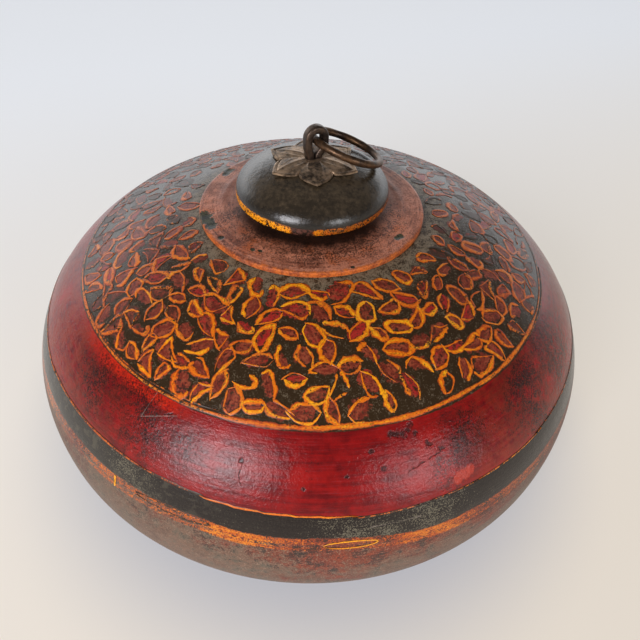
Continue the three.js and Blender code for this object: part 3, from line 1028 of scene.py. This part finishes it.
# how often each kind of petal comes, and its strokes as points along and across it
petalKinds = [
    (6, [
        [(-0.5, 0), (-0.22, 0.42), (0.2, 0.38), (0.52, -0.03)],
        [(-0.5, 0.06), (-0.2, -0.4), (0.22, -0.4), (0.5, 0)],
    ]),
    (4, [
        [(-0.46, 0.08), (-0.36, 0.44), (0.12, 0.4), (0.5, 0.08)],
        [(-0.46, 0), (-0.26, -0.42), (0.16, -0.3), (0.54, 0.06)],
    ]),
    (3, [[(0.46, -0.1), (0.28, 0.4), (-0.3, 0.42), (-0.5, 0), (-0.26, -0.42), (0.24, -0.4), (0.5, -0.02)]]),
    (3, [
        [(-0.46, -0.4), (0, -0.34), (0.46, -0.4)],
        [(0.48, -0.36), (0.26, 0.1), (0, 0.44)],
        [(0, 0.42), (-0.24, 0.06), (-0.46, -0.34)],
    ]),
    (2, [[(-0.5, 0.12), (-0.1, 0.44), (0.36, 0.32), (0.52, -0.1), (0.3, -0.42)]]),
    (2, [[(-0.48, -0.34), (-0.1, 0.16), (0.34, 0.44)], [(0.3, 0.46), (0.42, 0.04), (0.46, -0.42)]]),
    (2, [[(-0.5, 0.1), (-0.1, 0.42), (0.46, 0.2)], [(-0.3, -0.3), (0.1, -0.4), (0.5, -0.1)]]),
    (1, [[(-0.42, -0.2), (0, -0.42), (0.44, -0.14)]]),
]
chance = random.Random(petals["seed"])
shoulderLine = [(0.0, 40 * mm, shoulderHeight(40 * mm))]
while shoulderLine[-1][1] < pot["radius"] - 0.3 * mm:
    s, r, z = shoulderLine[-1]
    nextRadius = r + 0.2 * mm
    nextHeight = shoulderHeight(nextRadius)
    shoulderLine.append((s + math.hypot(nextRadius - r, nextHeight - z), nextRadius, nextHeight))


def alongTo(column, value):
    # distance along the shoulder where the radius (1) or the height (2) has this value
    return min(shoulderLine, key=lambda row: abs(row[column] - value))[0]


def shoulderAt(s):
    low, high = 0, len(shoulderLine) - 1
    while high - low > 1:
        middle = (low + high) // 2
        if shoulderLine[middle][0] > s:
            high = middle
        else:
            low = middle
    s0, r0, z0 = shoulderLine[low]
    s1, r1, z1 = shoulderLine[high]
    share = (s - s0) / (s1 - s0)
    return r0 + (r1 - r0) * share, z0 + (z1 - z0) * share, math.atan2(z1 - z0, r1 - r0)


def onShoulder(s, angle, lift):
    r, z, slope = shoulderAt(s)
    r -= lift * math.sin(slope)
    return Vector((r * math.cos(angle), r * math.sin(angle), z + lift * math.cos(slope)))


def makeTemplate(columns):
    deselectAll()
    bpy.ops.mesh.primitive_grid_add(x_subdivisions=columns, y_subdivisions=2, size=1)
    template = bpy.context.object
    editAll()
    bpy.ops.mesh.extrude_region_move(TRANSFORM_OT_translate={"value": (0, 0, 1)})
    bpy.ops.mesh.select_all(action="SELECT")
    bpy.ops.mesh.normals_make_consistent(inside=False)
    bpy.ops.object.mode_set(mode="OBJECT")
    template.data.attributes.new("tone", "FLOAT_COLOR", "POINT")
    return template


def layStroke(template, pathAt, widthAt, relief, yellowAt, wear):
    # pathAt gives the place on the shoulder, as distance along it and angle, for a share of the stroke
    piece = template.copy()
    piece.data = template.data.copy()
    bpy.context.scene.collection.objects.link(piece)
    for vertex, tone in zip(piece.data.vertices, piece.data.attributes["tone"].data):
        share = min(1, max(0, vertex.co.x + 0.5))
        s, angle = pathAt(share)
        sBefore, angleBefore = pathAt(max(0, share - 0.02))
        sAfter, angleAfter = pathAt(min(1, share + 0.02))
        r = shoulderAt(s)[0]
        alongS, alongT = sAfter - sBefore, (angleAfter - angleBefore) * r
        size = math.hypot(alongS, alongT) or 1
        across = vertex.co.y * widthAt(share)
        centre = 1 - abs(2 * vertex.co.y)
        lift = relief * (0.3 + 0.7 * centre) if vertex.co.z > 0.5 else -petals["sunk"]
        vertex.co = onShoulder(s + across * alongT / size, angle - across * alongS / size / r, lift)
        tone.color = (yellowAt(share), wear, centre, 1)
    return piece


def brush(width, thickAt, tail, wobble):
    phase, turns = chance.uniform(0, 6.3), chance.uniform(1.5, 4)

    def widthAt(share):
        body = 1 - (1 - tail) * abs(share - thickAt) ** 1.2
        body *= 1 + wobble * math.sin(phase + turns * 6.3 * share)
        ends = min(1, (share * 7) ** 0.5, ((1 - share) * 7) ** 0.5)
        return width * body * max(0.25, ends)

    return widthAt


def throughPoints(points, kink, share):
    # a curve through the points, straighter between them as kink grows
    place = min(share, 0.999) * (len(points) - 1)
    i = int(place)
    t = place - i
    before, first, last, after = (points[min(len(points) - 1, max(0, i + k))] for k in (-1, 0, 1, 2))
    pull = (1 - kink) / 2
    rise = 3 * t * t - 2 * t**3
    start, end = t**3 - 2 * t * t + t, t**3 - t * t
    return [
        a + (b - a) * rise + pull * (start * (b - c) + end * (d - a))
        for a, b, c, d in zip(first, last, before, after)
    ]


def petalPath(spot, shape, points):
    s, angle = spot
    r = shoulderAt(s)[0]
    limit = lineAt - petals["lineClear"]
    turnCos, turnSin = math.cos(shape["turn"]), math.sin(shape["turn"])

    def pathAt(share):
        u, v = throughPoints(points, shape["kink"], share)
        u, v = u * shape["length"], v * shape["width"] + shape["bend"] * shape["length"] * (0.25 - u * u)
        return min(limit, s + u * turnSin + v * turnCos), angle + (u * turnCos - v * turnSin) / r

    return pathAt


def loopPath(spot, length, width, start):
    s, angle = spot
    r = shoulderAt(s)[0]

    def pathAt(share):
        around = start + 2 * math.pi * share * 0.98
        return s + width / 2 * math.sin(around), angle + length / 2 * math.cos(around) / r

    return pathAt


def scatterPetals():
    # chance places, pushed apart until they sit evenly
    places = []
    for _ in range(petals["count"]):
        r = math.sqrt(chance.uniform(petals["inner"] ** 2, petals["outer"] ** 2))
        angle = chance.uniform(-math.pi, math.pi)
        places.append([r * math.cos(angle), r * math.sin(angle)])
    for _ in range(petals["pushes"]):
        heights = [shoulderHeight(math.hypot(x, y)) for x, y in places]
        for i, first in enumerate(places):
            for j in range(i):
                second = places[j]
                dx, dy = first[0] - second[0], first[1] - second[1]
                away = math.sqrt(dx * dx + dy * dy + (heights[i] - heights[j]) ** 2)
                if away < petals["spacing"]:
                    push = 0.3 * (petals["spacing"] - away) / away
                    first[0], first[1] = first[0] + dx * push, first[1] + dy * push
                    second[0], second[1] = second[0] - dx * push, second[1] - dy * push
        for place in places:
            r = math.hypot(*place)
            held = min(petals["outer"], max(petals["inner"], r)) / r
            place[0], place[1] = place[0] * held, place[1] * held
    return [(alongTo(1, math.hypot(x, y)), math.atan2(y, x)) for x, y in places]


def fade(start, end):
    return lambda share: start + (end - start) * share


def paintPetals(short, middling):
    fills, outlines = [], []
    kinds = [strokes for often, strokes in petalKinds for _ in range(often)]
    sideLength, relief, jitter = petals["sideLength"], petals["relief"], petals["jitter"]
    for spot in scatterPetals():
        front = (max(0, 0.3 - math.sin(spot[1])) / 1.3) ** 1.5  # the yellowest and the least worn part
        length = chance.uniform(*petals["length"]) * (sideLength + (1 - sideLength) * front)
        shape = {
            "length": length,
            "width": length * chance.uniform(*petals["girth"]),
            "bend": chance.uniform(-0.45, 0.45),
            "turn": chance.uniform(0, 2 * math.pi),
            "kink": chance.uniform(0, 0.5),
        }
        wear = chance.random() ** 1.5 * (1.55 - 1.05 * front)
        core = [(-0.4, 0), (-0.1, chance.uniform(-0.12, 0.12)), (0.15, 0), (chance.uniform(0.34, 0.46), 0)]
        nudge = (spot[0] + chance.uniform(-0.6, 0.6) * mm, spot[1] + chance.uniform(-0.007, 0.007))
        if chance.random() < 0.92:
            bright = chance.random()
            path = petalPath(nudge, shape, core)
            width = brush(shape["width"] * chance.uniform(0.8, 1.15), 0.45, 0.5, 0.2)
            fills.append(layStroke(short, path, width, petals["fillRelief"], fade(bright, bright), wear))
        stroke = chance.uniform(*petals["stroke"])
        strokes = chance.choice(kinds)
        heaviest = chance.randrange(len(strokes))
        for i, points in enumerate(strokes):
            points = [tuple(v + chance.uniform(-1, 1) * jitter for v in point) for point in points]
            weight = chance.uniform(*petals["heavy" if i == heaviest else "light"])
            warm = 0.04 + 0.3 * front**1.4 + (0.12 * front if i == heaviest else 0)
            start, end = warm + chance.uniform(-0.22, 0.3), warm + chance.uniform(-0.22, 0.3)
            template = middling if len(points) > 4 else short
            path = petalPath(spot, shape, points)
            width = brush(stroke * weight, chance.random(), 0.35, 0.3)
            worn = wear * chance.uniform(0.2, 1.0)
            outlines.append(layStroke(template, path, width, relief, fade(start, end), worn))
    return fills, outlines


# each line stroke: first and last azimuth, offset and width in mm, how yellow at both ends, wear
yellowLine = [
    (-158, -124, 0.3, 1.3, 0.25, 0.35, 0.5),
    (-150, -118, -0.7, 0.7, 0.1, 0.2, 0.7),
    (-127, -104, 0.4, 1.4, 0.45, 0.3, 0.55),
    (-122, -107, -0.8, 0.7, 0.45, 0.2, 0.8),
    (-108, -84, 0.2, 2.1, 0.1, 0.25, 0.15),
    (-90, -50, -0.2, 2.0, 0.4, 0.25, 0.15),
    (-54, -26, 0.0, 1.8, 0.4, 0.3, 0.3),
    (-36, -8, 0.9, 0.6, 0.3, 0.2, 0.7),
    (-29, 8, -0.2, 1.1, 0.35, 0.2, 0.5),
    (3, 44, 0.1, 1.5, 0.3, 0.35, 0.35),
    (39, 86, -0.2, 1.4, 0.35, 0.2, 0.4),
    (81, 128, 0.2, 1.5, 0.25, 0.35, 0.35),
    (122, 170, 0.0, 1.4, 0.3, 0.2, 0.45),
    (165, 212, -0.1, 1.3, 0.2, 0.3, 0.45),
]
thread = [
    (-178, -146, 0.0, 0.9, 0.15, 0.3, 0.45),
    (-148, -117, -0.4, 1.1, 0.2, 0.15, 0.6),
    (-118, -106, 0.0, 0.8, 0.15, 0.1, 0.85),
    (-107, -82, 0.0, 0.85, 0.25, 0.45, 0.1),
    (-83, -72, 0.1, 0.6, 0.35, 0.2, 0.7),
    (-70, -60, 0.0, 0.55, 0.3, 0.35, 0.7),
    (-61, -44, 0.1, 0.7, 0.4, 0.45, 0.55),
    (-46, 0, 0.0, 0.6, 0.3, 0.2, 0.75),
    (-2, 60, 0.1, 0.6, 0.2, 0.3, 0.7),
    (57, 125, 0.0, 0.65, 0.3, 0.2, 0.7),
    (121, 185, 0.1, 0.65, 0.2, 0.3, 0.65),
]
# long ovals over the stripe and one upright dab: middle azimuth and height, then length, width and
# stroke in mm, yellow, wear
ovals = [
    (-83.1, 70.6, 17, 2.8, 0.6, 0.8, 0.15),
    (-111.5, 73.2, 27, 2.6, 0.75, 0.3, 0.75),
    (-122.7, 72, 0.5, 4.4, 0.7, 1.1, 0.0),
]
lineAt = alongTo(1, petals["lineRadius"])
threadShare = 0.935  # radius of the pot at the thread, as a share of the widest


def threadAlong(angle):
    side = pot["radius"] * threadShare * math.cos(angle) / mm
    tilted = min(potBands["tiltTo"], max(potBands["tiltFrom"], side))
    return alongTo(2, (potBands["thread"] - potBands["threadTilt"] * tilted) * mm)


def paintLines(long):
    strokes, relief = [], petals["relief"]
    for rows in (yellowLine, thread):
        for first, last, offset, width, yellowStart, yellowEnd, wear in rows:
            phase = chance.uniform(0, 6.3)

            def pathAt(share, rows=rows, first=first, last=last, offset=offset, phase=phase):
                angle = math.radians(first + (last - first) * share)
                base = threadAlong(angle) if rows is thread else lineAt
                return base + (offset + 0.18 * math.sin(phase + 9 * angle)) * mm, angle

            widthAt = brush(width * mm, chance.random(), 0.75, 0.15)
            strokes.append(layStroke(long, pathAt, widthAt, relief, fade(yellowStart, yellowEnd), wear))
    for azimuth, height, length, width, stroke, yellow, wear in ovals:
        spot = (alongTo(2, height * mm), math.radians(azimuth))
        path = loopPath(spot, length * mm, width * mm, 3)
        widthAt = brush(stroke * mm, 0, 0.9, 0.1)
        strokes.append(layStroke(long, path, widthAt, relief, fade(yellow, yellow), wear))
    return strokes


def joinPaint(name, pieces, material):
    pickOnly(*pieces)
    bpy.ops.object.join()
    piece = bpy.context.object
    piece.name = name
    piece.data.materials.append(material)
    smooth(60)
    finishPiece(piece, "pot", "shoulder_paint")


print("painting the petals")
shortTemplate, middlingTemplate, longTemplate = makeTemplate(10), makeTemplate(18), makeTemplate(26)
fills, outlines = paintPetals(shortTemplate, middlingTemplate)
brushPaint = strokePaint("brushPaint")
joinPaint("petal_fills", fills, fillPaint("petalMaroon"))
joinPaint("petal_outlines", outlines, brushPaint)
joinPaint("painted_lines", paintLines(longTemplate), brushPaint)
for template in (shortTemplate, middlingTemplate, longTemplate):
    bpy.data.objects.remove(template)

# Floor, light and camera
print("setting the studio")
view = dict(distance=2.077, elevation=45.513, pitch=-0.041, yaw=0.944, roll=1.661, focal=500 / 640)
studio = dict(base="#e2dfdb", near="#dacdba", far="#e6eaf1", shade="#868ea0", size=8, glow=1.45)
surround = dict(above=0.13, ahead=0.3, behind=1.52, higher=1.05, colour=(0.95, 0.97, 1.0, 1))
# direction, distance, size, power and colour of each window
windows = dict(
    leftWindow=((-0.48, -0.77, 0.42), 1.2, (0.46, 0.48), 12.4, (0.96, 0.95, 1)),
    rightWindow=((0.59, -0.74, 0.27), 1.3, (0.42, 0.42), 5.4, (0.96, 0.97, 1)),
)


def placeCamera():
    angles = [math.radians(view[key]) for key in ("elevation", "pitch", "yaw", "roll")]
    elevation, pitch, yaw, roll = angles
    target = Vector((0, 0, pot["equator"]))
    away = view["distance"] * pot["radius"]
    place = target + away * Vector((0, -math.cos(elevation), math.sin(elevation)))
    ahead = (target - place).normalized()
    right = Vector((1, 0, 0))
    ahead = ahead * math.cos(pitch) - right.cross(ahead) * math.sin(pitch)
    aside = ahead * math.cos(yaw) + right * math.sin(yaw)
    right = aside.cross(right.cross(ahead)).normalized()
    up = right.cross(aside)
    camRight = right * math.cos(roll) + up * math.sin(roll)
    camUp = up * math.cos(roll) - right * math.sin(roll)
    data = bpy.data.cameras.new("camera")
    data.sensor_width = 36
    data.lens = view["focal"] * data.sensor_width
    data.clip_start = 0.01
    camera = bpy.data.objects.new("camera", data)
    bpy.context.scene.collection.objects.link(camera)
    turn = Matrix((camRight, camUp, -aside)).transposed().to_4x4()
    camera.matrix_world = Matrix.Translation(place) @ turn
    bpy.context.scene.camera = camera


def buildFloor():
    deselectAll()
    bpy.ops.mesh.primitive_plane_add(size=studio["size"])
    floor = bpy.context.object
    floor.name = "floor"
    material, w, where = newMaterial("floorPaint", studio)
    shader = material.node_tree.nodes["Principled BSDF"]
    w.plug("base", shader.inputs["Base Color"])
    w.plug(0.8, shader.inputs["Roughness"])
    x, y = w.split(where)[:2]
    # painted fall of light: the floor's glow is darker and warmer near the camera, paler and cooler far off
    far = (y + x * -0.4).step(-0.25, 0.6)
    close = w.math("SQRT", x * x + y * y).step(0.165, 0.095)
    pale = w.coats("near", (far, "far"), (close * 0.9, "shade"))
    glow = w.read("ShaderNodeEmission", 0, {"Color": pale, "Strength": studio["glow"]})
    rays = w.node("ShaderNodeLightPath").outputs
    seen = tallest([Reading(w, rays[f"Is {kind} Ray"]) for kind in ("Camera", "Glossy", "Transmission")])
    both = w.read("ShaderNodeMixShader", 0, {0: seen * 0.5, 1: shader.outputs[0], 2: glow})
    w.plug(both, material.node_tree.nodes["Material Output"].inputs["Surface"])
    floor.data.materials.append(material)


def addWindow(name, direction, distance, size, power, colour):
    data = bpy.data.lights.new(name, "AREA")
    data.shape = "RECTANGLE"
    data.size, data.size_y = size
    data.energy = power
    data.color = colour
    lamp = bpy.data.objects.new(name, data)
    bpy.context.scene.collection.objects.link(lamp)
    lamp.location = Vector((0, 0, 0.08)) + Vector(direction).normalized() * distance
    lamp.rotation_euler = (-Vector(direction)).to_track_quat("-Z", "Y").to_euler()


def lightScene():
    # a pale wall behind the pot, lit brighter above the floor, a dim room, and two windows at the front
    world = bpy.data.worlds.new("surround")
    bpy.context.scene.world = world
    world.use_nodes = True
    w = Wiring(world.node_tree, {})
    x, y, z = w.split(w.read("ShaderNodeTexCoord", "Generated", {}))
    wall = (y + w.math("ABSOLUTE", x) * 0.15).step(0.3, 0.7) * (z + x * 0.15).step(0.52, 0.22)
    behind = surround["behind"] + z.step(0.08, 0.28) * surround["higher"]
    ahead = z.step(0.32, 0.1) * surround["ahead"]
    back = world.node_tree.nodes["Background"]
    back.inputs["Color"].default_value = surround["colour"]
    w.plug(surround["above"] + ahead.most(wall * behind), back.inputs["Strength"])
    for name, values in windows.items():
        addWindow(name, *values)
    bpy.context.scene.view_settings.view_transform = "Standard"


placeCamera()
buildFloor()
lightScene()
